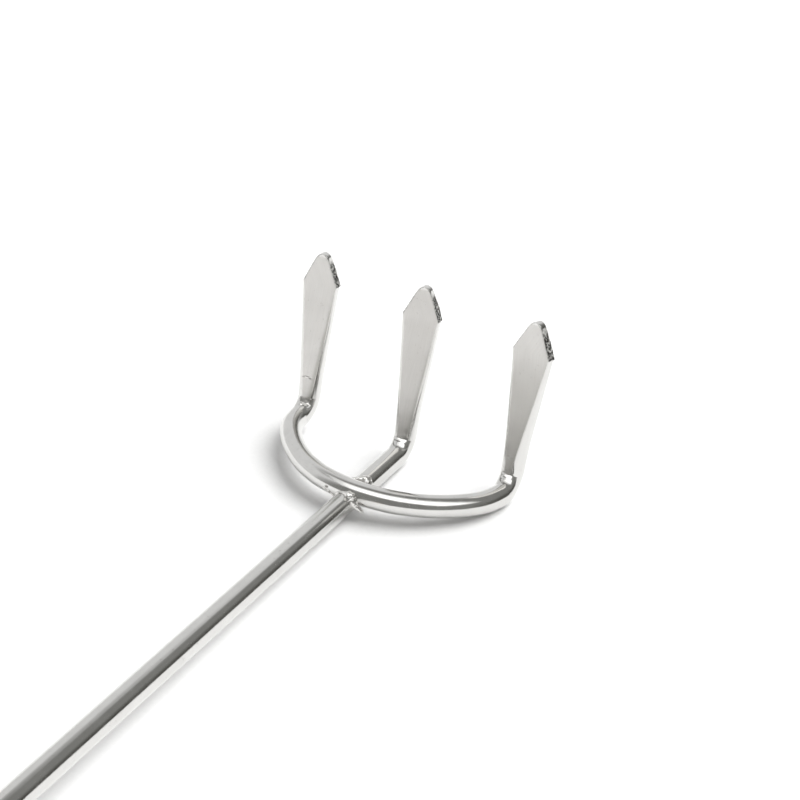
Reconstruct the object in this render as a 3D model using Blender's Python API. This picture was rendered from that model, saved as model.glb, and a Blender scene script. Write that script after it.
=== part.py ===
"""Three-tine uncapping fork: a round steel shaft, a bow of the same rod welded across it, a turned grip.

Units are metres. The fork is laid out in its own drawing frame: the shaft's axis runs along Y with the grip
at -Y, the rods cross at the origin, and the tines turn up to +Z. At the end everything hangs from one empty
that puts the fork down on the plane Z = 0, as it lies on a bench: on the grip's belly, on the bend of the
centre tine and on the +X arm of the bow.
"""

from math import ceil, copysign, cos, pi, radians, sin, sqrt

import bmesh
import bpy
from mathutils import Matrix, Vector

# ---------------------------------------------------------------- driving dimensions
ROD_RADIUS = 0.0030
CLEARANCE = 0.0003  # between two pieces that touch on the bench

# The bow: half an oval whose apex crosses the shaft, then a short straight arm on each side.
BOW_HALF_WIDTH = 0.0314
BOW_DEPTH = 0.0213
BOW_ARM = 0.0005
BOW_FORM = 1.15  # 1 is an ellipse; more draws the shoulders in
CENTRE_FOOT = 0.0215  # from the crossing to where the shaft turns up
BOW_RISE = 0.0022  # the bow's axis above the shaft's: the weld has sunk one rod into the other
ARM_RISE = 0.0010  # and at its arms, which droop a little

# The tines: a bend up out of the rod, then a blade forged flat and cut to a point. Their tips are level.
BEND_RADIUS = 0.0058
TINE_ANGLE = radians(82)
OUTER_LENGTH = 0.0412
CENTRE_LENGTH = OUTER_LENGTH + ARM_RISE
BLADE_HALF_WIDTH = 0.0053
BLADE_HALF_THICKNESS = 0.0012
POINT_LENGTH = 0.0084
POINT_HALF_ANGLE = radians(25)
NOSE_RADIUS = 0.0021
NOSE_LENGTH = NOSE_RADIUS * (1 - sin(POINT_HALF_ANGLE))
TAPER_END = 0.0040  # the taper down to the rod's width stops this far above the bend
TIP_START = 0.00006  # the outline starts this far from the end, where the nose has some width

# The weld: a bead on each side of the bow, lapped over the top half of the shaft.
BEAD_RADIUS = 0.0013
BEAD_ARC_RADIUS = 0.0036  # its axis, about the shaft's
BEAD_HALF_SPAN = radians(84)
BEAD_OFFSET = 0.0033  # along the shaft, from the crossing
CUTTER_REACH = 0.0120

# The grip end.
GRIP_START = 0.1360  # from the crossing to the mouth of the ferrule
GRIP_LENGTH = 0.1080
TANG_DEPTH = 0.0620
TANG_CHAMFER = 0.0010
FERRULE_LENGTH = 0.0200
FERRULE_RADIUS = 0.0088
FERRULE_WALL = 0.0008
FERRULE_NOSE = 0.0045
PIN_RADIUS = 0.0011
PIN_PROUD = 0.0004
PIN_SET_BACK = 0.0120  # from the ferrule's mouth
BELLY_RADIUS = 0.0125
BELLY_SET_BACK = 0.0640
BUTT_RADIUS = 0.0085

# Mesh fineness
ROD_SIDES = 16
TURNED_SIDES = 40
GRIP_STATIONS = 24
TAPER_STATIONS = 9
ARC_STEP = radians(10)

STEEL = {"color": (0.62, 0.61, 0.60, 1.0), "metallic": 1.0, "roughness": 0.28}
WELD_STEEL = {"color": (0.50, 0.49, 0.47, 1.0), "metallic": 1.0, "roughness": 0.40}
BEECH = {"color": (0.62, 0.42, 0.24, 1.0), "metallic": 0.0, "roughness": 0.50}


# ---------------------------------------------------------------- materials and objects
def material(name, look):
    made = bpy.data.materials.new(name)
    made.use_nodes = True
    shader = made.node_tree.nodes["Principled BSDF"]
    shader.inputs["Base Color"].default_value = look["color"]
    shader.inputs["Metallic"].default_value = look["metallic"]
    shader.inputs["Roughness"].default_value = look["roughness"]
    made.diffuse_color = look["color"]
    return made


def add_object(name, mesh, look=None):
    made = bpy.data.objects.new(name, mesh)
    bpy.context.scene.collection.objects.link(made)
    if look is not None:
        mesh.materials.append(material(name, look))
        mesh.shade_smooth()
        mesh.set_sharp_from_angle(angle=radians(35))
    return made


def add_cutter(name, mesh):
    made = add_object(name, mesh)
    made.hide_render = True
    made.display_type = "WIRE"
    return made


def cut(target, cutter):
    boolean = target.modifiers.new(cutter.name, "BOOLEAN")
    boolean.operation = "DIFFERENCE"
    boolean.solver = "EXACT"
    boolean.object = cutter


# ---------------------------------------------------------------- lofted rods
def rounded_section(half_width, half_thickness, edge, sides=ROD_SIDES):
    """A rounded rectangle, or a circle where all three sizes are equal. No point falls on an axis."""
    half_step = pi / sides
    out = edge / cos(half_step)
    points = []
    for k in range(sides):
        angle = (2 * k + 1) * half_step
        across = copysign(half_width - edge, cos(angle)) + out * cos(angle)
        through = copysign(half_thickness - edge, sin(angle)) + out * sin(angle)
        points.append((across, through))
    return points


def loft(name, stations, closed=False):
    """A closed mesh through stations of (centre, across, through, section), all with as many points."""
    mesh = bpy.data.meshes.new(name)
    shell = bmesh.new()
    rings = []
    for centre, across, through, section in stations:
        rings.append([shell.verts.new(centre + across * u + through * v) for u, v in section])
    for ring, following in zip(rings, rings[1:] + rings[:1] if closed else rings[1:]):
        for k in range(len(ring)):
            j = (k + 1) % len(ring)
            shell.faces.new((ring[k], ring[j], following[j], following[k]))
    if not closed:
        shell.faces.new(reversed(rings[0]))
        shell.faces.new(rings[-1])
    bmesh.ops.recalc_face_normals(shell, faces=shell.faces)
    shell.to_mesh(mesh)
    shell.free()
    return mesh


def round_rod(name, points, radius, across=Vector((1, 0, 0)), sides=ROD_SIDES):
    """A plain round rod along points that lie in one plane; across is square to that plane."""
    section = rounded_section(radius, radius, radius, sides)
    stations = []
    for k, point in enumerate(points):
        along = points[min(k + 1, len(points) - 1)] - points[max(k - 1, 0)]
        stations.append((point, across, across.cross(along).normalized(), section))
    return loft(name, stations)


# ---------------------------------------------------------------- the tines
def swell(from_tip, length):
    """How far the blade has gone from its thin point, 0, to the full rod where the bend begins, 1."""
    return min(1.0, max(0.0, (from_tip - POINT_LENGTH) / (length - POINT_LENGTH)))


def blade_half_width(from_tip, length):
    """The blade's outline: a round nose, two cut edges, then a long taper down to the rod."""
    if from_tip < NOSE_LENGTH:
        return sqrt(NOSE_RADIUS**2 - (NOSE_RADIUS - from_tip) ** 2)
    if from_tip < POINT_LENGTH:
        reach = (from_tip - NOSE_LENGTH) / (POINT_LENGTH - NOSE_LENGTH)
        nose_half_width = NOSE_RADIUS * cos(POINT_HALF_ANGLE)
        return nose_half_width + (BLADE_HALF_WIDTH - nose_half_width) * reach
    taper = min(1.0, (from_tip - POINT_LENGTH) / (length - TAPER_END - POINT_LENGTH))
    return BLADE_HALF_WIDTH + (ROD_RADIUS - BLADE_HALF_WIDTH) * taper


def blade_half_thickness(from_tip, length):
    """Thin and even at the point, then thickening ever faster down the blade."""
    return BLADE_HALF_THICKNESS + (ROD_RADIUS - BLADE_HALF_THICKNESS) * swell(from_tip, length) ** 2


def blade_edge(from_tip, length):
    """How round the long edges are: crisp where they were cut, fully round at the rod."""
    half_thickness = blade_half_thickness(from_tip, length)
    crisp = 0.35 * half_thickness
    full = min(half_thickness, blade_half_width(from_tip, length))
    return crisp + (full - crisp) * swell(from_tip, length) ** 0.8


def tine_distances(length):
    """Distances from the tip at which the blade's section is drawn."""
    nose = [TIP_START, 0.12 * NOSE_LENGTH, 0.35 * NOSE_LENGTH, NOSE_LENGTH]
    taper = [POINT_LENGTH + (length - POINT_LENGTH) * k / TAPER_STATIONS for k in range(TAPER_STATIONS + 1)]
    return nose + taper


def tine_stations(foot, ahead, across, length):
    """Stations from the tip down the blade and round the bend to foot, where the rod runs level."""
    up = Vector((0, 0, 1))
    bend_centre = foot + up * BEND_RADIUS
    rising = ahead * cos(TINE_ANGLE) + up * sin(TINE_ANGLE)
    facing = up * cos(TINE_ANGLE) - ahead * sin(TINE_ANGLE)
    blade_foot = bend_centre + ahead * BEND_RADIUS * sin(TINE_ANGLE) - up * BEND_RADIUS * cos(TINE_ANGLE)
    stations = []
    for from_tip in tine_distances(length):
        section = rounded_section(
            blade_half_width(from_tip, length),
            blade_half_thickness(from_tip, length),
            blade_edge(from_tip, length),
        )
        centre = blade_foot + rising * (length - from_tip)
        stations.append((centre, across, facing, section))
    section = rounded_section(ROD_RADIUS, ROD_RADIUS, ROD_RADIUS)
    steps = ceil(TINE_ANGLE / ARC_STEP)
    for k in range(1, steps + 1):
        turn = TINE_ANGLE * (1 - k / steps)
        outward = ahead * sin(turn) - up * cos(turn)
        stations.append((bend_centre + outward * BEND_RADIUS, across, -outward, section))
    return stations


# ---------------------------------------------------------------- the bow
def bow_point(angle):
    """A point on the bow's axis; angle 0 is the crossing and +-90 degrees the ends of the half oval."""
    aside = copysign(abs(sin(angle)) ** BOW_FORM, angle)
    reach = 1 - max(0.0, cos(angle)) ** BOW_FORM
    rise = BOW_RISE + (ARM_RISE - BOW_RISE) * reach
    return Vector((BOW_HALF_WIDTH * aside, BOW_DEPTH * reach, rise))


def bow_side(angle):
    """Level and square to the bow's axis at a point, toward its hollow side."""
    small = 0.01 * ARC_STEP
    behind, ahead = max(-pi / 2, angle - small), min(pi / 2, angle + small)
    along = bow_point(ahead) - bow_point(behind)
    return Vector((-along.y, along.x, 0)).normalized()


def bow_axis(half_angle=pi / 2):
    steps = 2 * ceil(half_angle / ARC_STEP)
    return [half_angle * (2 * k / steps - 1) for k in range(steps + 1)]


def bow_mesh():
    """From the -X tip down its tine, along the bow and up the +X tine to its tip, as one rod."""
    ahead = Vector((0, 1, 0))
    up = Vector((0, 0, 1))
    foot_y = BOW_DEPTH + BOW_ARM
    left_foot = Vector((-BOW_HALF_WIDTH, foot_y, ARM_RISE))
    right_foot = Vector((BOW_HALF_WIDTH, foot_y, ARM_RISE))
    section = rounded_section(ROD_RADIUS, ROD_RADIUS, ROD_RADIUS)
    stations = tine_stations(left_foot, ahead, Vector((1, 0, 0)), OUTER_LENGTH)
    for angle in bow_axis():
        stations.append((bow_point(angle), bow_side(angle), up, section))
    right = tine_stations(right_foot, ahead, Vector((-1, 0, 0)), OUTER_LENGTH)
    return loft("bow", stations + right[::-1])


# ---------------------------------------------------------------- turned pieces
def turned(name, profile, sides=TURNED_SIDES, closed=False):
    """A turned shape about the Y axis from (y, radius) points, with two flat ends or closed into a ring."""
    section = [(cos(2 * pi * k / sides), sin(2 * pi * k / sides)) for k in range(sides)]
    across, through = Vector((1, 0, 0)), Vector((0, 0, 1))
    stations = []
    for y, radius in profile:
        ring = [(radius * u, radius * v) for u, v in section]
        stations.append((Vector((0, y, 0)), across, through, ring))
    return loft(name, stations, closed)


def grip_radius(set_back):
    """The grip's outline behind the ferrule: a shoulder, a waist, the belly, and a tail to the butt."""
    knots = (
        (FERRULE_LENGTH, FERRULE_RADIUS + 0.0008),
        (FERRULE_LENGTH + 0.010, FERRULE_RADIUS - 0.0004),
        (BELLY_SET_BACK, BELLY_RADIUS),
        (GRIP_LENGTH - 0.004, BUTT_RADIUS + 0.0016),
        (GRIP_LENGTH, BUTT_RADIUS),
    )
    for (start, first), (end, last) in zip(knots, knots[1:]):
        if set_back <= end:
            share = (set_back - start) / (end - start)
            return first + (last - first) * (1 - cos(pi * share)) / 2
    return BUTT_RADIUS


def grip_mesh():
    """Bored for the tang, with a spigot inside the ferrule; drawn from the bottom of the bore outward."""
    bore = ROD_RADIUS + CLEARANCE
    spigot = FERRULE_RADIUS - FERRULE_WALL - CLEARANCE
    front = FERRULE_NOSE + FERRULE_WALL + CLEARANCE
    profile = [(-TANG_DEPTH - CLEARANCE, bore), (-front, bore), (-front, spigot)]
    profile += [(-FERRULE_LENGTH - CLEARANCE, spigot)]
    length = GRIP_LENGTH - FERRULE_LENGTH - CLEARANCE
    for k in range(GRIP_STATIONS + 1):
        set_back = FERRULE_LENGTH + CLEARANCE + length * k / GRIP_STATIONS
        profile.append((-set_back, grip_radius(set_back)))
    return turned("grip", profile)


def ferrule_mesh():
    """A drawn cup, open at the back, its mouth drawn in to the rod. The profile is one closed loop."""
    mouth = ROD_RADIUS + CLEARANCE
    inner = FERRULE_RADIUS - FERRULE_WALL
    profile = [
        (0, mouth),
        (0, mouth + FERRULE_WALL),
        (-0.35 * FERRULE_NOSE, mouth + 0.62 * (FERRULE_RADIUS - mouth)),
        (-FERRULE_NOSE, FERRULE_RADIUS),
        (-FERRULE_LENGTH, FERRULE_RADIUS),
        (-FERRULE_LENGTH, inner),
        (-FERRULE_NOSE - FERRULE_WALL, inner),
        (-FERRULE_NOSE - FERRULE_WALL, mouth),
    ]
    return turned("ferrule", profile, closed=True)


def pin_mesh():
    """A short pin across the grip, slightly domed where it was hammered flush."""
    reach = FERRULE_RADIUS + PIN_PROUD
    ends = [(-reach, 0.6), (-FERRULE_RADIUS, 1.0), (FERRULE_RADIUS, 1.0), (reach, 0.6)]
    stations = []
    for x, share in ends:
        section = rounded_section(share * PIN_RADIUS, share * PIN_RADIUS, share * PIN_RADIUS)
        stations.append((Vector((x, 0, 0)), Vector((0, 1, 0)), Vector((0, 0, 1)), section))
    return loft("cross_pin", stations)


# ---------------------------------------------------------------- the shaft and the weld
def shaft_mesh():
    """The centre tine, its bend, the bare shaft and the tang, as one rod with a chamfered end."""
    ahead = Vector((0, 1, 0))
    stations = tine_stations(Vector((0, CENTRE_FOOT, 0)), ahead, Vector((1, 0, 0)), CENTRE_LENGTH)
    tang_end = -GRIP_START - TANG_DEPTH
    for y, radius in ((tang_end + TANG_CHAMFER, ROD_RADIUS), (tang_end, ROD_RADIUS - TANG_CHAMFER)):
        section = rounded_section(radius, radius, radius)
        stations.append((Vector((0, y, 0)), Vector((1, 0, 0)), Vector((0, 0, 1)), section))
    return loft("shaft", stations)


def bead_mesh(name, y):
    """One weld bead before it is fitted: a rod bent over the shaft, lying along one side of the bow."""
    steps = 12
    points = []
    for k in range(steps + 1):
        turn = BEAD_HALF_SPAN * (2 * k / steps - 1)
        points.append(Vector((BEAD_ARC_RADIUS * sin(turn), y, BEAD_ARC_RADIUS * cos(turn))))
    return round_rod(name, points, BEAD_RADIUS, across=Vector((0, 1, 0)), sides=12)


def shaft_cutter():
    """The shaft near the crossing, grown by the working clearance."""
    ends = [Vector((0, y, 0)) for y in (-CUTTER_REACH, CUTTER_REACH)]
    return add_cutter("cutter_shaft", round_rod("cutter_shaft", ends, ROD_RADIUS + CLEARANCE))


def bow_cutter():
    """The bow near the crossing, grown by the working clearance."""
    up = Vector((0, 0, 1))
    radius = ROD_RADIUS + CLEARANCE
    section = rounded_section(radius, radius, radius)
    stations = [(bow_point(a), bow_side(a), up, section) for a in bow_axis(3 * ARC_STEP)]
    return add_cutter("cutter_bow", loft("cutter_bow", stations))


def pin_cutter():
    ends = [Vector((x, 0, 0)) for x in (-2 * FERRULE_RADIUS, 2 * FERRULE_RADIUS)]
    mesh = round_rod("cutter_pin", ends, PIN_RADIUS + CLEARANCE, across=Vector((0, 1, 0)))
    return add_cutter("cutter_pin", mesh)


# ---------------------------------------------------------------- how it lies on the bench
def bench_normal():
    """The bench's upward normal in the drawing frame, from the three rounds that touch it."""
    centre_bend = Vector((0, CENTRE_FOOT, BEND_RADIUS))
    arm_bend = Vector((BOW_HALF_WIDTH, BOW_DEPTH + BOW_ARM, BEND_RADIUS + ARM_RISE))
    belly = Vector((0, -GRIP_START - BELLY_SET_BACK, 0))
    between_bends = arm_bend - centre_bend
    along = centre_bend - belly
    normal = Vector((0, 0, 1))
    for _ in range(20):
        bend_depth = BEND_RADIUS * sqrt(normal.y**2 + normal.z**2) + ROD_RADIUS
        belly_depth = BELLY_RADIUS * sqrt(normal.x**2 + normal.z**2)
        y = (bend_depth - belly_depth - normal.z * along.z) / along.y
        x = -(y * between_bends.y + normal.z * between_bends.z) / between_bends.x
        normal = Vector((x, y, 1)).normalized()
    return normal


def put_on_bench(pieces):
    """Turn and drop everything so the bench is Z = 0, with the origin under the middle of the bounds."""
    rest = bpy.data.objects.new("on_bench", None)
    bpy.context.scene.collection.objects.link(rest)
    normal = bench_normal()
    heading = Vector((0, 1, 0))
    heading = (heading - normal * heading.dot(normal)).normalized()
    turn = Matrix((heading.cross(normal), heading, normal))
    rest.rotation_euler = turn.to_euler()
    corners = [turn @ (piece.location + v.co) for piece in pieces for v in piece.data.vertices]
    low = [min(c[k] for c in corners) for k in range(3)]
    high = [max(c[k] for c in corners) for k in range(3)]
    rest.location = (-(low[0] + high[0]) / 2, -(low[1] + high[1]) / 2, -low[2])
    return rest


# ---------------------------------------------------------------- the fork
def build():
    for old in list(bpy.data.objects):
        bpy.data.objects.remove(old, do_unlink=True)

    shaft = add_object("shaft", shaft_mesh(), STEEL)
    bow = add_object("bow", bow_mesh(), STEEL)
    near_bead = add_object("weld_bead_near", bead_mesh("weld_bead_near", -BEAD_OFFSET), WELD_STEEL)
    far_bead = add_object("weld_bead_far", bead_mesh("weld_bead_far", BEAD_OFFSET), WELD_STEEL)
    grip = add_object("grip", grip_mesh(), BEECH)
    ferrule = add_object("ferrule", ferrule_mesh(), STEEL)
    pin = add_object("cross_pin", pin_mesh(), STEEL)

    over_shaft, round_bow, through_pin = shaft_cutter(), bow_cutter(), pin_cutter()
    for piece in (grip, ferrule):
        piece.location = (0, -GRIP_START, 0)
    for piece in (pin, through_pin):
        piece.location = (0, -GRIP_START - PIN_SET_BACK, 0)

    cut(bow, over_shaft)
    for bead in (near_bead, far_bead):
        cut(bead, over_shaft)
        cut(bead, round_bow)
    for piece in (shaft, grip, ferrule):
        cut(piece, through_pin)

    pieces = [shaft, bow, near_bead, far_bead, grip, ferrule, pin]
    rest = put_on_bench(pieces)
    for member in pieces + [over_shaft, round_bow, through_pin]:
        member.parent = rest


build()
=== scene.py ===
from math import cos, pi, radians, sin, sqrt

import bmesh
import bpy
import numpy as np
from mathutils import Matrix, Vector, noise


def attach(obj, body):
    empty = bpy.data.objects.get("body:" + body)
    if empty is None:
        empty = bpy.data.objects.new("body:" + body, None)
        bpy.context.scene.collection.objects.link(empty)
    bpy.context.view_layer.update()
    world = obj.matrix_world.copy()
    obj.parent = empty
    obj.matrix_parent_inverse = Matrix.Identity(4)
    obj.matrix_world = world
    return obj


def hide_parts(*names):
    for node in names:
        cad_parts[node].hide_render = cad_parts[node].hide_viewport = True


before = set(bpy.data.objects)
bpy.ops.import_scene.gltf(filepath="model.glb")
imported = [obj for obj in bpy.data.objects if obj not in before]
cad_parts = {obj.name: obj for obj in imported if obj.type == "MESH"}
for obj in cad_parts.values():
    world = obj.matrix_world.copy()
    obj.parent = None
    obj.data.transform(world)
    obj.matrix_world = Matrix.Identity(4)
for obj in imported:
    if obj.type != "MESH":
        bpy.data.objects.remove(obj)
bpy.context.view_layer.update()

# ---------------------------------------------------------------- sizes: millimetres in the fork's own frame
MM = 0.001
ROD = 3.0  # the rod's radius before forging
GRIP_START = 136.0  # from the bow's crossing to the grip's front end
TANG_DEPTH = 62.0
PIN_SET_BACK = 12.0
CENTRE_FOOT = 21.5  # where the centre tine starts to turn up
ARM_FOOT = 21.8  # where the outer tines start to turn up
BEND = 5.8  # the radius of the turn at a tine's foot
TINE_ANGLE = radians(82)
BOW_RISE = 2.2  # the bow's axis above the shaft's at the crossing
ARM_RISE = 1.0  # the same at the feet of the outer tines
BOW_CURVE = 0.014  # near the crossing the bow's plan is y = BOW_CURVE * x * x
POINT = 8.4  # the sheared point's length
NOSE = 2.0  # the radius that rounds the point's end
POINT_HALF_ANGLE = radians(26)
BLADE_HALF = 1.2  # half the blade's thickness at its point
STEP_FRONT = 2.40  # the front's height over the axis where the forging die ended
STEP_BACK_FLAT = 0.8  # half the back flat's width there
EDGE = 0.28  # how deep a forged edge is rolled over
RIM = 0.25  # how far a forged flat stops short of the edge
ROUND = 0.9995  # a fully rounded corner, short of a division by zero
PLAIN = 99.0  # the distance from a tip that stands for plain rod
SHARP_ANGLE = radians(42)  # faces that meet more sharply keep a crisp edge

# How the fork lies: the bench's upward normal in the fork's own frame, and where its origin goes.
BENCH_NORMAL = Vector((-0.0313491, -0.0427536, 0.9985937)).normalized()
CROSSING = Vector((-1.2072, 103.9147, 3.9751))


def bench_matrix():
    heading = Vector((0, 1, 0))
    heading = (heading - BENCH_NORMAL * heading.dot(BENCH_NORMAL)).normalized()
    turn = Matrix((heading.cross(BENCH_NORMAL), heading, BENCH_NORMAL)).to_4x4()
    return Matrix.Scale(MM, 4) @ Matrix.Translation(CROSSING) @ turn


TO_BENCH = bench_matrix()

# Each tine: where it stands, its axis's rise there, its straight length, half its width and its twist.
# base_flat is half the front flat's width at the die step, and step is that step's distance from the tip.
# Then two amounts of painted shade, one for a darker strip down the flat's right edge and one for the whole
# flat; then a seed for its own wear.
TINES = {
    "left": {"x": -31.2, "foot": ARM_FOOT, "rise": ARM_RISE, "length": 41.2, "half_width": 4.85,
             "twist": radians(-10), "base_flat": 1.15, "step": 45.6, "strip_shade": 0.9, "flat_shade": 0.0, "seed": 3.0},
    "centre": {"x": 0.0, "foot": CENTRE_FOOT, "rise": 0.0, "length": 42.2, "half_width": 5.02,
               "twist": radians(-8), "base_flat": 1.5, "step": 44.6, "strip_shade": 0.55, "flat_shade": 0.10,
               "seed": 11.0},
    "right": {"x": 31.9, "foot": ARM_FOOT, "rise": ARM_RISE, "length": 41.2, "half_width": 5.4,
              "twist": radians(8), "base_flat": 0.9, "step": 43.6, "strip_shade": 0.2, "flat_shade": 0.62, "seed": 23.0},
}

# The bow's axis as it was bent by hand, from the left arm to the right.
BOW_POINTS = (
    (-31.2, ARM_FOOT), (-30.4, 18.4), (-28.4, 14.6), (-24.9, 10.4), (-20.8, 6.8), (-16.8, 4.1),
    (-12.8, 2.3), (-8.5, 0.9), (0.0, 0.0), (8.1, 1.0), (13.7, 2.8), (19.3, 5.7),
    (24.3, 9.5), (28.1, 13.4), (30.6, 17.4), (31.9, ARM_FOOT),
)


# ---------------------------------------------------------------- small helpers
def smooth(low, high, x):
    t = np.clip((x - low) / (high - low), 0.0, 1.0)
    return t * t * (3 - 2 * t)


def bump(x, centre, width):
    return np.exp(-(((x - centre) / width) ** 2))


def wobble(p, scale, seed):
    return noise.noise(Vector((p[0] * scale + seed, p[1] * scale - seed, p[2] * scale + 2 * seed)))


def unit(v):
    return v / np.linalg.norm(v, axis=-1, keepdims=True)


def mesh_from_rings(name, rings, closed=False):
    """rings: (n, m, 3) in the fork's frame in mm. Returns an object standing on the bench in metres."""
    n, m, _ = rings.shape
    verts = rings.reshape(-1, 3)
    k = np.arange(m)
    faces = []
    last = n if closed else n - 1
    for i in range(last):
        a, b = i * m, ((i + 1) % n) * m
        faces += [(a + p, a + (p + 1) % m, b + (p + 1) % m, b + p) for p in k]
    if not closed:
        faces.append(tuple(int(x) for x in k[::-1]))
        faces.append(tuple(int(x) for x in k + (n - 1) * m))
    mesh = bpy.data.meshes.new(name)
    mesh.from_pydata([tuple(v) for v in verts], [], faces)
    return finish_mesh(name, mesh)


def finish_mesh(name, mesh):
    work = bmesh.new()
    work.from_mesh(mesh)
    bmesh.ops.recalc_face_normals(work, faces=work.faces)
    work.to_mesh(mesh)
    work.free()
    mesh.transform(TO_BENCH)
    mesh.shade_smooth()
    mesh.set_sharp_from_angle(angle=SHARP_ANGLE)
    made = bpy.data.objects.new(name, mesh)
    bpy.context.scene.collection.objects.link(made)
    return made


def add_attribute(obj, name, values, kind="FLOAT"):
    attribute = obj.data.attributes.new(name, kind, "POINT")
    key = "vector" if kind == "FLOAT_VECTOR" else "value"
    attribute.data.foreach_set(key, np.asarray(values, np.float32).reshape(-1))


# ---------------------------------------------------------------- the forged rods
SIDES = 96


def section_points(w, hf, hb, ff, fb, cf, cb):
    """Rings of (across, facing) points: a rounded block, flat in front and behind, or a circle with no flats.

    w is the half width; h, f and c are the height, the half flat and the corner's depth, for front and back.
    """
    phi = (np.arange(SIDES) + 0.5) * 2 * pi / SIDES
    c, s = np.cos(phi)[None, :], np.sin(phi)[None, :]
    front = s > 0
    h = np.where(front, hf[:, None], hb[:, None])
    flat = np.where(front, ff[:, None], fb[:, None])
    drop = np.where(front, cf[:, None], cb[:, None])
    a = 1 - drop / h
    b = np.clip(flat / w[:, None], 0, 0.995)
    ac, as_ = np.abs(c), np.abs(s)
    on_side = as_ / ac <= a
    on_flat = ac / as_ <= b
    p, q = 1 / (1 - b), 1 / (1 - a)
    qa = (ac * p) ** 2 + (as_ * q) ** 2
    qb = -2 * (ac * b * p**2 + as_ * a * q**2)
    qc = (b * p) ** 2 + (a * q) ** 2 - 1
    root = np.sqrt(np.maximum(qb**2 - 4 * qa * qc, 0))
    corner = (-qb + root) / (2 * qa)
    k = np.where(on_side, 1 / ac, np.where(on_flat, 1 / as_, corner))
    return k * c * w[:, None], k * s * h


def tine_profile(s, tine):
    """Section sizes at distances s from the tip."""
    wide = tine["half_width"]
    step = tine["step"]
    nose_end = NOSE * (1 - sin(POINT_HALF_ANGLE))
    nose_half = NOSE * cos(POINT_HALF_ANGLE)
    w = np.where(
        s < nose_end,
        np.sqrt(np.maximum(NOSE**2 - (NOSE - np.minimum(s, NOSE)) ** 2, 0.0009)),
        nose_half + (wide - nose_half) * (s - nose_end) / (POINT - nose_end),
    )
    taper = wide - (wide - ROD) * (s - POINT) / (step - 9 - POINT)
    soft = ROD + np.logaddexp(0, (taper - ROD) * 6) / 6
    w = np.where(s < POINT, w, np.minimum(soft, wide))
    x = np.clip((s - POINT) / (step - POINT), 0, 1)
    hf = BLADE_HALF + (STEP_FRONT - BLADE_HALF) * x**1.35
    hb = BLADE_HALF + (ROD - BLADE_HALF) * x**1.35
    ff = (wide - RIM) + (tine["base_flat"] - wide + RIM) * np.clip(1.12 * x, 0, 1) ** 0.9
    fb = (wide - RIM) + (STEP_BACK_FLAT - wide + RIM) * x
    cf = EDGE + (hf - EDGE) * x**0.9
    cb = EDGE + (hb - EDGE) * x**0.9
    # the sheared point: square edges, rolled over only at the nose
    point = s < POINT
    rolled = 1 - smooth(0.5, 2.0, s)
    edge = 0.10 + 0.34 * rolled
    ff = np.where(point, np.maximum(w - edge, 0.02), ff)
    fb = np.where(point, np.maximum(w - edge, 0.02), fb)
    cf = np.where(point, edge, cf)
    cb = np.where(point, edge, cb)
    # past the die step the rod is round again
    square = cf / hf
    swell = np.clip((s - step + 1.2) / 5.0, 0, 1)
    hf = hf + (ROD - hf) * (1 - (1 - swell) ** 2)
    ff = ff * (1 - smooth(step - 3.2, step + 2.6, s))
    fb = fb * (1 - smooth(step - 3, step + 3, s))
    hb = hb + (ROD - hb) * smooth(step - 4, step, s)
    cf = hf * (square + (1 - square) * smooth(step - 3.2, step + 2.6, s))
    cb = np.where(s > step - 3, cb + (hb - cb) * smooth(step - 3, step + 3, s), cb)
    w = w + (ROD - w) * smooth(step - 3, step + 2, s)
    return w, hf, hb, ff, fb, np.minimum(cf, hf * ROUND), np.minimum(cb, hb * ROUND)


def tine_axis(s, tine):
    """Centres at distances s from the tip; beyond the bend's end the rod is another path's business."""
    lean = TINE_ANGLE
    turn = np.clip(lean - (s - tine["length"]) / BEND, 0, lean)
    on_blade = s <= tine["length"]
    y = np.where(on_blade, BEND * sin(lean) + (tine["length"] - s) * cos(lean), BEND * np.sin(turn))
    up = BEND * (1 - cos(lean)) + (tine["length"] - s) * sin(lean)
    z = np.where(on_blade, up, BEND * (1 - np.cos(turn)))
    return np.stack([np.full_like(s, tine["x"]), tine["foot"] + y, tine["rise"] + z], -1)


def tine_distances(tine):
    """Distances from the tip: close together at the point and at the die step, wider apart between."""
    end = tine["length"] + BEND * TINE_ANGLE
    point = np.concatenate([[0.012, 0.05, 0.11, 0.2, 0.32, 0.46], np.arange(0.62, POINT, 0.13)])
    fine_from = 34.6  # just short of the nicks
    blade = np.arange(POINT, fine_from, 0.35)
    step = np.arange(fine_from, tine["step"] + 2.6, 0.11)
    rest = np.arange(tine["step"] + 2.6, end - 0.1, 0.3)
    return np.concatenate([point, blade, step, rest])


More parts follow.
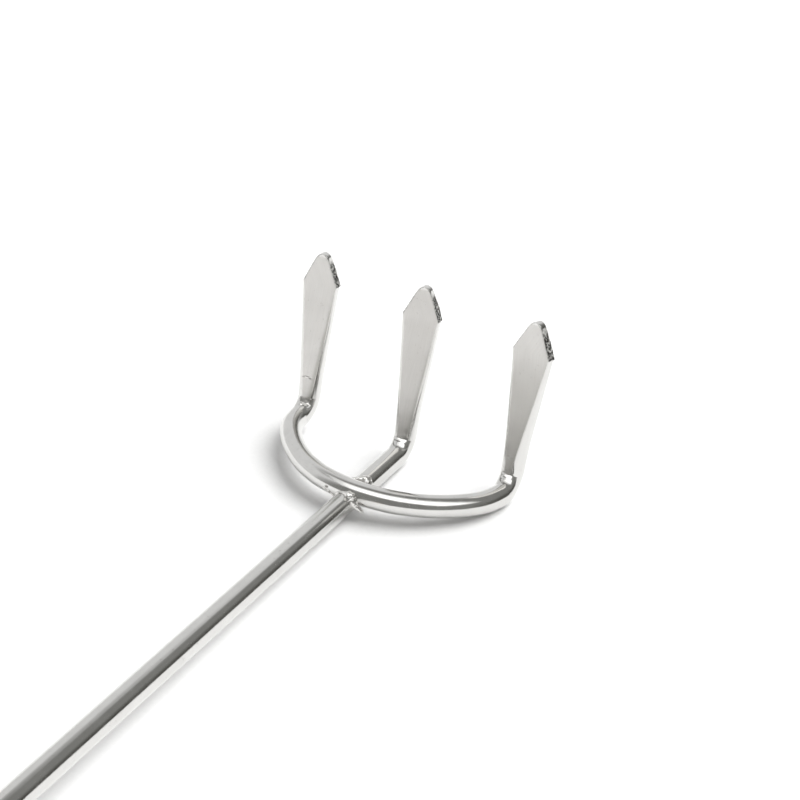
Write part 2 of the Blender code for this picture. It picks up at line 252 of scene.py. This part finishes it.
def forge(rings, uv, s, tine, frames, to_right):
    """Dents, the die step's lip, nicks and the torn sheared edges, all on one tine's rings."""
    across, facing = frames
    u, v = uv
    s2 = s[:, None] + 0 * u
    x = u * to_right
    step, seed = tine["step"], tine["seed"]
    front = smooth(0.2, 1.6, v)
    ragged = np.array([[0.16 * wobble((a, b, 0.0), 1.1, seed) for a, b in zip(*row)] for row in zip(s2, x)])
    # the hollow the die left, deepest to the right, with a small crumb of metal in it
    lift = -0.20 * bump(s2 + ragged, step - 2.6, 1.6) * bump(x, 0.95, 0.75) * front
    lift += 0.12 * bump(s2, step - 2.0, 0.80) * bump(x, 0.25, 0.42) * front
    # the thin lip pushed up to the left of it
    lift += 0.13 * bump(s2 + 0.10 * x + 0.5 * ragged, step - 0.3, 0.50) * bump(x, -0.9, 0.9) * front
    lift -= 0.06 * bump(s2 + 0.10 * x + 0.5 * ragged, step + 0.80, 0.50) * bump(x, -0.8, 0.9) * front
    if tine is TINES["left"]:
        lift -= 0.34 * bump(s2 + 0.6 * ragged, 35.6, 0.21) * bump(x, -0.45, 0.85) * front
        lift += 0.08 * bump(s2 + ragged, 35.95, 0.22) * bump(x, -0.85, 0.8) * front
    if tine is TINES["right"]:
        lift += 0.15 * bump(s2 + ragged, 37.3, 0.22) * bump(x, -0.1, 0.55) * front
        lift -= 0.10 * bump(s2 + ragged, 36.85, 0.20) * bump(x, -0.2, 0.60) * front
    rings += lift[..., None] * facing[:, None, :]
    # the long faces are never quite true
    sway = 0.016 * np.sin(s2 * 0.21 + seed) * np.sin(u * 0.35 + seed * 0.7)
    sway += 0.007 * np.sin(s2 * 0.83 + 2 * seed)
    rings += (sway * np.sign(v) * smooth(0.3, 1.0, np.abs(v)))[..., None] * facing[:, None, :]
    # torn metal along the two sheared edges, dragged out toward the back
    side = smooth(0.20, 0.10, np.abs(u).max(1, keepdims=True) - np.abs(u))
    cut = side * smooth(1.2, 3.4, s2) * (1 - smooth(POINT + 0.05, POINT + 0.35, s2))
    for i, j in zip(*np.nonzero(cut > 0.1)):
        p = (float(s[i]), float(v[i, j]) * 1.3, float(np.sign(u[i, j])) * 3)
        tear = 0.12 * wobble(p, 1.7, seed) + 0.10 * wobble(p, 4.0, seed + 5)
        burr = 0.11 * (BLADE_HALF - v[i, j]) * smooth(1.5, 5.5, s[i])
        rings[i, j] += (tear + burr) * cut[i, j] * np.sign(u[i, j]) * across[i]
    return cut


def dense(points, spacing):
    """Evenly spaced points on a smooth curve through the given plan points."""
    p = np.array(points, float)
    t = np.concatenate([[0], np.cumsum(np.sqrt(np.linalg.norm(np.diff(p, axis=0), axis=1)))])
    fine = []
    for k in range(len(p) - 1):
        a = p[max(k - 1, 0)]
        d = p[min(k + 2, len(p) - 1)]
        ta, tb, tc, td = t[max(k - 1, 0)], t[k], t[k + 1], t[min(k + 2, len(p) - 1)]
        slope_b = (p[k + 1] - a) / (tc - ta)
        slope_c = (d - p[k]) / (td - tb)
        for h in np.linspace(0, 1, 40, endpoint=False):
            h2, h3, span = h * h, h**3, tc - tb
            fine.append((2 * h3 - 3 * h2 + 1) * p[k] + (h3 - 2 * h2 + h) * span * slope_b
                        + (3 * h2 - 2 * h3) * p[k + 1] + (h3 - h2) * span * slope_c)
    fine.append(p[-1])
    fine = np.array(fine)
    kernel = np.hanning(61)
    kernel /= kernel.sum()
    padded = np.concatenate([2 * fine[0] - fine[30:0:-1], fine, 2 * fine[-1] - fine[-2:-32:-1]])
    fine = np.stack([np.convolve(padded[:, i], kernel, "valid") for i in range(2)], -1)
    length = np.concatenate([[0], np.cumsum(np.linalg.norm(np.diff(fine, axis=0), axis=1))])
    where = np.linspace(0, length[-1], int(length[-1] / spacing))
    return np.stack([np.interp(where, length, fine[:, i]) for i in range(2)], -1)


def orthonormal(centres, across):
    tangent = unit(np.gradient(centres, axis=0))
    across = unit(across - tangent * (across * tangent).sum(1, keepdims=True))
    return tangent, across


def build_rod(name, centres, across, s_tip, owner, profile):
    """One rod from its stations. owner names the tine each station belongs to, or None for plain rod."""
    tangent, across = orthonormal(centres, across)
    facing = np.cross(tangent, across)
    for key, tine in TINES.items():
        mine = np.array([o == key for o in owner])
        if not mine.any():
            continue
        fade = 1 - smooth(tine["step"] - 4, tine["length"] + BEND * TINE_ANGLE, s_tip)
        angle = np.where(mine, tine["twist"] * fade * np.sign(across[:, 0]), 0)[:, None]
        across, facing = (
            across * np.cos(angle) + facing * np.sin(angle),
            facing * np.cos(angle) - across * np.sin(angle),
        )
    u, v = section_points(*profile)
    rings = centres[:, None, :] + u[..., None] * across[:, None, :] + v[..., None] * facing[:, None, :]
    cut, satin, shade = (np.zeros(u.shape) for _ in range(3))
    for key, tine in TINES.items():
        mine = np.nonzero(np.array([o == key for o in owner]))[0]
        if len(mine) == 0:
            continue
        part, um, vm = rings[mine], u[mine], v[mine]
        to_right = np.sign(across[mine][0, 0])
        cut[mine] = forge(part, (um, vm), s_tip[mine], tine, (across[mine], facing[mine]), to_right)
        rings[mine] = part
        s2 = s_tip[mine][:, None] + 0 * um
        front_edge, back_edge = profile[3][mine][:, None], profile[4][mine][:, None]
        on_front = (vm > 0) * (1 - smooth(front_edge - 0.05, front_edge + 0.35, np.abs(um)))
        on_back = (vm < 0) * (1 - smooth(back_edge - 0.05, back_edge + 0.35, np.abs(um)))
        forged = 1 - smooth(tine["step"] - 3.0, tine["step"] + 0.6, s2)
        satin[mine] = (on_front + on_back) * forged * smooth(0.3, 1.2, s2)
        # painted shade: a darker strip down the right of each flat, widening toward the step
        reach = smooth(POINT, tine["step"], s2)
        strip = bump(um * to_right, front_edge + 0.15 - 0.25 * reach, 0.22 + 0.60 * reach)
        shade[mine] = tine["strip_shade"] * strip * smooth(0.0, 0.4, vm) * smooth(POINT + 1, POINT + 9, s2)
        # painted shade over each tine's whole front flat, heaviest on the right tine
        shade[mine] += tine["flat_shade"] * on_front * smooth(POINT - 6, POINT + 12, s2)
        shade[mine] *= 1 - smooth(tine["step"] - 3.0, tine["step"] - 0.5, s2)
    arc = np.concatenate([[0], np.cumsum(np.linalg.norm(np.diff(centres, axis=0), axis=1))])
    steps = np.linalg.norm(np.diff(rings, axis=1), axis=2)
    around = np.concatenate([np.zeros((len(arc), 1)), np.cumsum(steps, axis=1)], 1)
    rod = np.stack([arc[:, None] + 0 * around, around, 0 * around], -1)
    made = mesh_from_rings(name, rings)
    add_attribute(made, "cut", cut)
    add_attribute(made, "satin", satin)
    add_attribute(made, "shade", shade)
    add_attribute(made, "rod", rod, "FLOAT_VECTOR")
    return made


def plain(n):
    """Section sizes of n stations of round rod, in tine_profile's order."""
    r = np.full(n, ROD)
    zero = np.zeros(n)
    return r, r.copy(), r.copy(), zero, zero.copy(), r * ROUND, r * ROUND


def joined(*groups):
    return tuple(np.concatenate(parts) for parts in zip(*groups))


def rise_at(y):
    return BOW_RISE + (ARM_RISE - BOW_RISE) * np.clip(y / ARM_FOOT, 0, 1)


def build_bow():
    left, right = TINES["left"], TINES["right"]
    sl, sr = tine_distances(left), tine_distances(right)
    plan = dense(BOW_POINTS, 0.5)[1:-1]
    middle = np.stack([plan[:, 0], plan[:, 1], rise_at(plan[:, 1])], -1)
    centres = np.concatenate([tine_axis(sl, left), middle, tine_axis(sr, right)[::-1]])
    direction = np.gradient(middle, axis=0)
    side = unit(np.stack([-direction[:, 1], direction[:, 0], 0 * direction[:, 0]], -1))
    ones = np.array([1.0, 0, 0])
    across = np.concatenate([np.tile(ones, (len(sl), 1)), side, np.tile(-ones, (len(sr), 1))])
    s_tip = np.concatenate([sl, np.full(len(middle), PLAIN), sr[::-1]])
    owner = ["left"] * len(sl) + [None] * len(middle) + ["right"] * len(sr)
    back = tuple(x[::-1] for x in tine_profile(sr, right))
    profile = joined(tine_profile(sl, left), plain(len(middle)), back)
    return build_rod("bow_rod", centres, across, s_tip, owner, profile)


def build_shaft():
    tine = TINES["centre"]
    s = tine_distances(tine)
    end = -(GRIP_START + TANG_DEPTH)
    near, far = np.arange(CENTRE_FOOT - 0.2, -12, -0.5), np.arange(-12, end + 1.2, -2.0)
    y = np.concatenate([near, far, [end + 1.0, end]])
    straight = np.stack([0 * y, y, 0 * y], -1)
    centres = np.concatenate([tine_axis(s, tine), straight])
    across = np.tile(np.array([1.0, 0, 0]), (len(centres), 1))
    s_tip = np.concatenate([s, np.full(len(y), PLAIN)])
    owner = ["centre"] * len(s) + [None] * len(y)
    tail = [x.copy() for x in plain(len(y))]
    for k in (0, 1, 2, 5, 6):  # the tang's last ring is smaller all round
        tail[k][-1] *= 0.66
    return build_rod("shaft_rod", centres, across, s_tip, owner, joined(tine_profile(s, tine), tuple(tail)))


# ---------------------------------------------------------------- the weld
def seam(turn, side):
    """Where the shaft's skin meets the bow's, at an angle from the shaft's top; side -1 is the grip's."""
    x, z = ROD * sin(turn), ROD * cos(turn)
    reach = sqrt(max(0.05, ROD**2 - (z - BOW_RISE) ** 2))
    return np.array([x, BOW_CURVE * x * x + side * reach, z])


def bead(path, radii, seed, rough, sides=28):
    """A lumpy weld bead along a path, thicker where the radii say so."""
    path, radii = np.array(path), np.array(radii)
    length = np.concatenate([[0], np.cumsum(np.linalg.norm(np.diff(path, axis=0), axis=1))])
    where = np.linspace(0, length[-1], int(length[-1] / 0.07))
    centres = np.stack([np.interp(where, length, path[:, i]) for i in range(3)], -1)
    radius = np.interp(where, length, radii)
    ends = np.minimum(where, length[-1] - where)
    radius = radius * np.sqrt(np.clip(ends / 0.5, 0.02, 1))
    tangent, across = orthonormal(centres, np.tile(np.array([0.31, 0.52, 0.79]), (len(centres), 1)))
    other = np.cross(tangent, across)
    angle = np.arange(sides) * 2 * pi / sides
    rings = np.zeros((len(centres), sides, 3))
    for i in range(len(centres)):
        for j, a in enumerate(angle):
            out = cos(a) * across[i] + sin(a) * other[i]
            p = centres[i] + out * radius[i]
            lump = 0.9 * wobble(p, 0.75, seed) + 0.6 * wobble(p, 1.9, seed + 3)
            lump += 0.3 * wobble(p, 4.5, seed + 7)
            rings[i, j] = centres[i] + out * radius[i] * (1 + rough * lump)
    return rings


def ball(centre, radius, seed):
    """A bead of spatter."""
    rings = []
    for k in range(1, 12):
        tilt = pi * k / 12
        ring = []
        for j in range(24):
            a = 2 * pi * j / 24
            out = np.array([sin(tilt) * cos(a), sin(tilt) * sin(a), cos(tilt)])
            ring.append(np.array(centre) + out * radius * (1 + 0.25 * wobble(out, 1.3, seed)))
        rings.append(ring)
    return np.array(rings)


def merge(name, ring_sets):
    parts = [mesh_from_rings(f"{name}_{k}", rings) for k, rings in enumerate(ring_sets)]
    bpy.ops.object.select_all(action="DESELECT")
    for part in parts:
        part.select_set(True)
    bpy.context.view_layer.objects.active = parts[0]
    bpy.ops.object.join()
    parts[0].name = name
    parts[0].data.name = name
    return parts[0]


def on_bow(x, turn):
    """A point on the bow's skin at a plan x; turn 0 is the side toward the grip, 90 degrees the top."""
    y = BOW_CURVE * x * x
    slope = 2 * BOW_CURVE * x
    out = unit(np.array([slope, -1.0, 0.0]))
    rise = float(rise_at(np.array(y)))
    return np.array([x, y, rise]) + ROD * (cos(turn) * out + sin(turn) * np.array([0, 0, 1.0]))


def build_weld_near():
    """The grip's side: a lip along the bow, the bead over the shaft's shoulder and a fin running off it."""
    path, radii = [], []
    for x in np.linspace(-6.6, -3.2, 9):
        path.append(on_bow(x, radians(-30 - 6 * (x + 3.2))))
        radii.append(0.16 + 0.10 * (x + 6.6) / 3.4)
    for turn in np.linspace(-66, 60, 32):
        path.append(seam(radians(turn), -1) + np.array([0, -0.10, 0.10]))
        radii.append(0.26 + 1.30 * bump(turn, 32, 24) + 0.10 * bump(turn, -40, 20))
    rings = [bead(path, radii, 4.2, 0.30)]
    fin = [(1.4, -2.8, 2.5), (2.4, -3.0, 1.7), (3.3, -3.1, 0.8)]
    fin += [(4.1, -3.0, 0.1), (5.0, -2.8, -0.5), (5.7, -2.5, -0.9)]
    rings.append(bead(fin, [1.15, 1.20, 0.95, 0.72, 0.55, 0.36], 9.7, 0.16))
    rings.append(ball(on_bow(-5.3, radians(6)), 0.42, 1.0))
    rings.append(ball(on_bow(-4.6, radians(-14)), 0.30, 2.0))
    rings.append(ball(on_bow(-7.4, radians(-30)), 0.18, 3.0))
    return merge("weld_near", rings)


def build_weld_far():
    """The far side: a fat saddle over the shaft with a flat fillet running off to its left."""
    turns = np.linspace(-78, 86, 40)
    path = [seam(radians(t), 1) + np.array([0, 0.20 + 1.65 * bump(t, 34, 42), 0.40]) for t in turns]
    radii = [0.28 + 1.20 * bump(t, 36, 34) + 0.22 * bump(t, -30, 22) for t in turns]
    rings = [bead(path, radii, 15.3, 0.18)]
    fillet = [seam(radians(t), 1) + np.array([0, 1.1, -0.35]) for t in np.linspace(-62, 0, 16)]
    rings.append(bead(fillet, [0.80 * sin(pi * k / 15) + 0.12 for k in range(16)], 21.0, 0.22))
    return merge("weld_far", rings)


# ---------------------------------------------------------------- the grip end
def turned(name, profile, sides=96, closed=False, ripple=0.0):
    angle = np.arange(sides) * 2 * pi / sides
    rings = []
    for y, r in profile:
        waver = ripple * (np.sin(3 * angle + 0.11 * y) + 0.5 * np.sin(5 * angle - 0.07 * y))
        rings.append(np.stack([(r + waver) * np.cos(angle), 0 * angle + y, (r + waver) * np.sin(angle)], -1))
    return mesh_from_rings(name, np.array(rings), closed=closed)


def eased(knots, y):
    """A radius at y on a smooth run through (place, radius) knots."""
    for (start, first), (end, last) in zip(knots, knots[1:]):
        if y <= end:
            share = (y - start) / (end - start)
            return first + (last - first) * (1 - cos(pi * share)) / 2
    return knots[-1][1]


def build_grip():
    """Turned beech: a spigot inside the ferrule, a rolled shoulder, a waist, two fine grooves and a butt."""
    knots = ((20.9, 9.4), (30.0, 8.35), (64.0, 12.45), (103.5, 10.1), (107.2, 9.3), (108.0, 8.5))
    profile = [(-TANG_DEPTH, 3.25), (-5.6, 3.25), (-5.6, 7.6), (-20.3, 7.6), (-20.3, 8.9), (-20.5, 9.25)]
    for y in np.concatenate([np.arange(20.9, 103.5, 0.6), np.arange(103.5, 108.01, 0.25)]):
        groove = 0.32 * (bump(y, 90.0, 0.55) + bump(y, 92.6, 0.55))
        profile.append((-float(y), eased(knots, y) - groove))
    return turned("grip_wood", [(y - GRIP_START, r) for y, r in profile], ripple=0.035)


def build_ferrule():
    """A drawn cup with two fine grooves, domed toward the shaft."""
    outer = [(0.0, 3.30), (0.0, 3.95), (-0.35, 4.30), (-1.0, 5.6), (-2.0, 7.2), (-3.0, 8.2), (-3.9, 8.65)]
    outer += [(-4.7, 8.8), (-6.6, 8.8), (-7.0, 8.55), (-7.4, 8.8), (-17.2, 8.8), (-17.6, 8.55), (-18.0, 8.8)]
    outer += [(-19.6, 8.8), (-20.0, 8.6)]
    inner = [(-20.0, 8.0), (-6.0, 8.0), (-5.3, 7.6), (-5.2, 3.3)]
    return turned("ferrule_cup", [(y - GRIP_START, r) for y, r in outer + inner], closed=True)


def build_pin():
    rings = []
    reach = 9.25
    y0 = -GRIP_START - PIN_SET_BACK
    for x, r in ((-reach, 0.25), (-reach + 0.1, 0.75), (-reach + 0.32, 1.12), (-8.7, 1.1),
                 (8.7, 1.1), (reach - 0.32, 1.12), (reach - 0.1, 0.75), (reach, 0.25)):
        rings.append([(x, y0 + r * cos(a), r * sin(a)) for a in np.arange(40) * 2 * pi / 40])
    return mesh_from_rings("pin_steel", np.array(rings))


# ---------------------------------------------------------------- materials
class Nodes:
    """A short way to write a material's node tree."""

    def __init__(self, name):
        self.material = bpy.data.materials.new(name)
        self.material.use_nodes = True
        self.tree = self.material.node_tree
        self.shader = self.tree.nodes["Principled BSDF"]

    def node(self, kind, inputs=(), **settings):
        made = self.tree.nodes.new(kind)
        for key, value in settings.items():
            setattr(made, key, value)
        for key, value in dict(inputs).items():
            self.feed(made.inputs[key], value)
        return made

    def feed(self, socket, value):
        if isinstance(value, bpy.types.NodeSocket):
            self.tree.links.new(value, socket)
        else:
            socket.default_value = value

    def attribute(self, name):
        return self.node("ShaderNodeAttribute", attribute_name=name)

    def stretched(self, vector, scale):
        return self.node("ShaderNodeMapping", {"Vector": vector, "Scale": scale}).outputs["Vector"]

    def noise(self, vector, scale, detail=3.0, rough=0.55):
        made = self.node("ShaderNodeTexNoise", {"Vector": vector, "Scale": scale, "Detail": detail,
                                                "Roughness": rough})
        return made.outputs["Fac"]

    def ramp(self, value, low, high, to_low=0.0, to_high=1.0):
        made = self.node("ShaderNodeMapRange", {"Value": value, "From Min": low, "From Max": high,
                                                "To Min": to_low, "To Max": to_high})
        made.clamp = True
        return made.outputs["Result"]

    def math(self, operation, a, b):
        made = self.node("ShaderNodeMath", operation=operation)
        self.feed(made.inputs[0], a)
        self.feed(made.inputs[1], b)
        return made.outputs[0]

    def blend(self, factor, a, b):
        made = self.node("ShaderNodeMix", data_type="RGBA")
        self.feed(made.inputs[0], factor)
        self.feed(made.inputs[6], a)
        self.feed(made.inputs[7], b)
        return made.outputs[2]

    def bump(self, height, strength, distance, normal=None):
        made = self.node("ShaderNodeBump", {"Height": height, "Strength": strength, "Distance": distance})
        if normal is not None:
            self.feed(made.inputs["Normal"], normal)
        return made.outputs["Normal"]

    def finish(self, **sockets):
        for key, value in sockets.items():
            self.feed(self.shader.inputs[key.replace("_", " ")], value)
        return self.material


def rod_material():
    """Bright nickel over drawn wire; satin where it was forged flat, dark and torn where it was sheared;
    painted shade on the tines' flats.
    """
    n = Nodes("bright_nickel_rod")
    rod = n.attribute("rod").outputs["Vector"]
    satin = n.attribute("satin").outputs["Fac"]
    cut = n.attribute("cut").outputs["Fac"]
    shade = n.attribute("shade").outputs["Fac"]
    place = n.node("ShaderNodeTexCoord").outputs["Object"]
    drawn = n.noise(n.stretched(rod, (0.05, 3.2, 1.0)), 1.0, 4.0, 0.6)
    fine = n.noise(n.stretched(rod, (0.35, 9.0, 1.0)), 1.0, 3.0, 0.6)
    cloud = n.noise(place, 260.0, 4.0, 0.6)
    grit = n.noise(place, 3200.0, 3.0, 0.7)
    specks = n.ramp(n.noise(place, 1500.0, 2.0, 0.5), 0.66, 0.74)
    torn = n.noise(place, 1750.0, 2.0, 0.75)
    rough = n.math("ADD", n.ramp(cloud, 0.3, 0.7, 0.09, 0.17), n.ramp(fine, 0.35, 0.75, 0.0, 0.05))
    rough = n.math("ADD", rough, n.math("MULTIPLY", specks, 0.12))
    rough = n.math("ADD", rough, n.math("MULTIPLY", satin, 0.20))
    rough = n.math("ADD", rough, n.math("MULTIPLY", cut, 0.22))
    bright = n.blend(n.ramp(cloud, 0.3, 0.7), (0.66, 0.655, 0.64, 1), (0.71, 0.705, 0.69, 1))
    bright = n.blend(n.math("MULTIPLY", satin, 0.7), bright, (0.71, 0.695, 0.675, 1))
    streaks = n.ramp(n.noise(n.stretched(rod, (0.10, 2.6, 1.0)), 1.0, 3.0, 0.6), 0.30, 0.70, 0.0, 0.22)
    bright = n.blend(n.math("MULTIPLY", satin, streaks), bright, (0.50, 0.488, 0.47, 1))
    # painted shade from the shade attribute: darker strips and flats on the tines
    bright = n.blend(n.math("MINIMUM", shade, 1.0), bright, (0.44, 0.43, 0.405, 1))
    bright = n.blend(n.math("MULTIPLY", specks, 0.35), bright, (0.42, 0.40, 0.37, 1))
    pits = n.blend(n.ramp(torn, 0.47, 0.56), (0.035, 0.033, 0.031, 1), (0.80, 0.79, 0.77, 1))
    colour = n.blend(cut, bright, pits)
    normal = n.bump(drawn, 0.07, 0.00005)
    normal = n.bump(fine, n.math("ADD", 0.05, n.math("MULTIPLY", satin, 0.22)), 0.00003, normal)
    normal = n.bump(grit, n.math("ADD", 0.04, n.math("MULTIPLY", satin, 0.42)), 0.00004, normal)
    normal = n.bump(torn, cut, 0.0004, normal)
    return n.finish(Base_Color=colour, Metallic=1.0, Roughness=rough, Normal=normal)


def weld_material(name, seed):
    """Weld metal under the plate: bright on its crests, with painted shade darkening its creases."""
    n = Nodes(name)
    place = n.node("ShaderNodeTexCoord").outputs["Object"]
    moved = n.node("ShaderNodeMapping", {"Vector": place, "Location": (seed, 0.0, 0.0)}).outputs["Vector"]
    lumps = n.noise(moved, 1100.0, 4.0, 0.6)
    fine = n.noise(moved, 4200.0, 3.0, 0.7)
    # painted shade: the low parts of the lumps, the creases, are coloured darker
    crease_shade = n.ramp(lumps, 0.30, 0.41)
    colour = n.blend(crease_shade, (0.34, 0.32, 0.295, 1), (0.76, 0.75, 0.73, 1))
    rough = n.ramp(fine, 0.3, 0.7, 0.14, 0.30)
    normal = n.bump(lumps, 0.14, 0.00012)
    normal = n.bump(fine, 0.10, 0.00005, normal)
    return n.finish(Base_Color=colour, Metallic=1.0, Roughness=rough, Normal=normal)


def plate_material(name, scale, tint):
    """Thin bright plate with handling scuffs, for the ferrule and the pin."""
    n = Nodes(name)
    place = n.node("ShaderNodeTexCoord").outputs["Object"]
    cloud = n.noise(place, 180.0 * scale, 4.0, 0.6)
    lines = n.noise(n.stretched(place, (260.0, 4200.0, 260.0)), 1.0, 3.0, 0.6)
    scuffs = n.ramp(n.noise(n.stretched(place, (2600.0, 320.0, 900.0)), 1.0, 2.0, 0.5), 0.62, 0.70)
    rough = n.math("ADD", n.ramp(cloud, 0.3, 0.7, 0.12, 0.24), n.math("MULTIPLY", scuffs, 0.18))
    worn = (tint * 0.92, tint * 0.91, tint * 0.89, 1)
    colour = n.blend(n.ramp(cloud, 0.25, 0.75), worn, (tint, tint, tint * 0.985, 1))
    normal = n.bump(lines, 0.10, 0.00004)
    normal = n.bump(scuffs, 0.08, 0.00003, normal)
    return n.finish(Base_Color=colour, Metallic=1.0, Roughness=rough, Normal=normal)


def wood_material():
    """Oiled beech: long grain, short brown flecks, and hand wear that has polished and darkened the belly."""
    n = Nodes("oiled_beech")
    place = n.node("ShaderNodeTexCoord").outputs["Object"]
    sway = n.noise(n.stretched(place, (90.0, 9.0, 90.0)), 1.0, 2.0, 0.5)
    grain = n.node("ShaderNodeTexWave", {"Vector": n.stretched(place, (260.0, 10.0, 150.0)), "Scale": 1.0,
                                         "Distortion": 5.0, "Detail": 3.0, "Detail Scale": 1.4},
                   wave_type="BANDS", bands_direction="X").outputs["Fac"]
    fibres = n.noise(n.stretched(place, (2600.0, 55.0, 2600.0)), 1.0, 4.0, 0.65)
    flecks = n.ramp(n.noise(n.stretched(place, (1500.0, 260.0, 1500.0)), 1.0, 1.0, 0.4), 0.64, 0.70)
    wear = n.noise(place, 60.0, 3.0, 0.6)
    colour = n.blend(grain, (0.45, 0.255, 0.125, 1), (0.58, 0.365, 0.20, 1))
    colour = n.blend(n.ramp(sway, 0.3, 0.7, 0.0, 0.5), colour, (0.50, 0.30, 0.155, 1))
    colour = n.blend(n.ramp(fibres, 0.35, 0.7, 0.0, 0.4), colour, (0.36, 0.19, 0.09, 1))
    colour = n.blend(n.math("MULTIPLY", flecks, 0.55), colour, (0.25, 0.12, 0.055, 1))
    colour = n.blend(n.ramp(wear, 0.45, 0.7, 0.0, 0.35), colour, (0.33, 0.18, 0.09, 1))
    rough = n.math("ADD", n.ramp(wear, 0.3, 0.7, 0.52, 0.34), n.ramp(fibres, 0.3, 0.7, 0.0, 0.10))
    normal = n.bump(fibres, 0.25, 0.00012)
    normal = n.bump(flecks, 0.20, 0.00006, normal)
    return n.finish(Base_Color=colour, Metallic=0.0, Roughness=rough, Normal=normal)


def floor_material():
    """Matt white paper with a very faint tooth."""
    n = Nodes("white_paper")
    place = n.node("ShaderNodeTexCoord").outputs["Object"]
    tooth = n.noise(place, 900.0, 3.0, 0.6)
    colour = n.blend(n.ramp(tooth, 0.3, 0.7), (0.84, 0.84, 0.84, 1), (0.87, 0.87, 0.87, 1))
    return n.finish(Base_Color=colour, Metallic=0.0, Roughness=0.9, Normal=n.bump(tooth, 0.05, 0.0001))


# ---------------------------------------------------------------- stage, light and camera
def dress(obj, material):
    obj.data.materials.clear()
    obj.data.materials.append(material)


def lamp(name, kind, place, target, **settings):
    light = bpy.data.lights.new(name, kind)
    for key, value in settings.items():
        setattr(light, key, value)
    made = bpy.data.objects.new(name, light)
    made.location = place
    made.rotation_euler = (Vector(target) - Vector(place)).to_track_quat("-Z", "Y").to_euler()
    bpy.context.scene.collection.objects.link(made)
    return made


def build_stage():
    side = 6.0
    mesh = bpy.data.meshes.new("floor")
    corners = [(-side, -side, 0), (side, -side, 0), (side, side, 0), (-side, side, 0)]
    mesh.from_pydata(corners, [], [(0, 1, 2, 3)])
    floor = bpy.data.objects.new("floor", mesh)
    bpy.context.scene.collection.objects.link(floor)
    dress(floor, floor_material())


def patch(n, direction, heading, spread, low, high, soft):
    """1 inside a patch of sky round a heading, between two heights; the edges are soft."""
    along = (sin(heading), cos(heading), 0)
    flat = n.node("ShaderNodeVectorMath", {0: direction, 1: (1, 1, 0)}, operation="MULTIPLY").outputs[0]
    flat = n.node("ShaderNodeVectorMath", {0: flat}, operation="NORMALIZE").outputs[0]
    facing = n.node("ShaderNodeVectorMath", {0: flat, 1: along}, operation="DOT_PRODUCT").outputs["Value"]
    height = n.node("ShaderNodeSeparateXYZ", {"Vector": direction}).outputs["Z"]
    inside = n.ramp(facing, cos(spread + soft), cos(max(spread - soft, 0.01)))
    above = n.ramp(height, sin(low) - soft / 2, sin(low) + soft / 2)
    below = n.ramp(height, sin(high) - soft / 2, sin(high) + soft / 2, 1.0, 0.0)
    return n.math("MULTIPLY", inside, n.math("MULTIPLY", above, below))


class WorldNodes(Nodes):
    def __init__(self, name):
        self.world = bpy.data.worlds.new(name)
        self.world.use_nodes = True
        self.tree = self.world.node_tree


def build_world():
    """A dim studio with one pale wall to the far left and a dark one to the far right."""
    n = WorldNodes("studio")
    direction = n.node("ShaderNodeTexCoord").outputs["Generated"]
    grey = (0.26, 0.26, 0.25, 1)
    pale = patch(n, direction, radians(-62), radians(72), radians(-5), radians(55), 0.16)
    dark = patch(n, direction, radians(52), radians(42), radians(-10), radians(20), 0.30)
    colour = n.blend(pale, grey, (0.84, 0.84, 0.84, 1))
    colour = n.blend(dark, colour, (0.09, 0.088, 0.08, 1))
    background = n.tree.nodes["Background"]
    n.feed(background.inputs["Color"], colour)
    background.inputs["Strength"].default_value = 1.0
    bpy.context.scene.world = n.world


# The panels hang one above the other, so a reflection adds them up: bright in the middle, softer outward.
PANELS = (("inner", 1.00, 1.20, 0.44), ("middle", 1.05, 1.55, 0.70), ("outer", 1.10, 1.9, 0.96))
PANELS_OVER = (0.27, -0.26)
PANEL_RADIANCE = 0.62


def build_lights():
    """Panels overhead that show only in reflections, and a soft key from the far right kept out of them."""
    for name, height, wide, deep in PANELS:
        panel = lamp(f"overhead_{name}", "AREA", (*PANELS_OVER, height), (*PANELS_OVER, 0.0),
                     shape="RECTANGLE", size=wide, size_y=deep, energy=PANEL_RADIANCE * pi * wide * deep)
        panel.visible_diffuse = False
    key = lamp("paper_key", "SUN", (0.53, 0.60, 1.0), (0.0, 0.0, 0.0), energy=4.2, angle=radians(60))
    key.visible_glossy = False


def build_camera():
    camera = bpy.data.cameras.new("camera")
    camera.lens = 63.2
    camera.sensor_width = 36.0
    camera.clip_start = 0.01
    made = bpy.data.objects.new("camera", camera)
    right = Vector((0.85873916, 0.51238501, 0.00535537))
    up = Vector((-0.28401143, 0.4672421, 0.83727077))
    back = Vector((0.42650273, -0.72051819, 0.54676227))
    turn = Matrix((right, up, back)).transposed().to_4x4()
    made.matrix_world = Matrix.Translation((0.15560, -0.13634, 0.22090)) @ turn
    bpy.context.scene.collection.objects.link(made)
    bpy.context.scene.camera = made


# ---------------------------------------------------------------- build
def place(obj, material, slot, *nodes):
    dress(obj, material)
    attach(obj, "root")
    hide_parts(*nodes)


rod_finish = rod_material()
place(build_shaft(), rod_finish, "plated_rod", "shaft")
place(build_bow(), rod_finish, "plated_rod_bow", "bow")
place(build_weld_near(), weld_material("weld_metal_near_side", 0.0), "weld_metal_near", "weld_bead_near")
place(build_weld_far(), weld_material("weld_metal_far_side", 0.37), "weld_metal_far", "weld_bead_far")
place(build_grip(), wood_material(), "beech", "grip")
place(build_ferrule(), plate_material("ferrule_nickel", 1.0, 0.70), "ferrule_plate", "ferrule")
place(build_pin(), plate_material("pin_bright_steel", 3.0, 0.66), "pin_steel", "cross_pin")
build_stage()
build_world()
build_lights()
build_camera()
bpy.context.scene.view_settings.view_transform = "Standard"
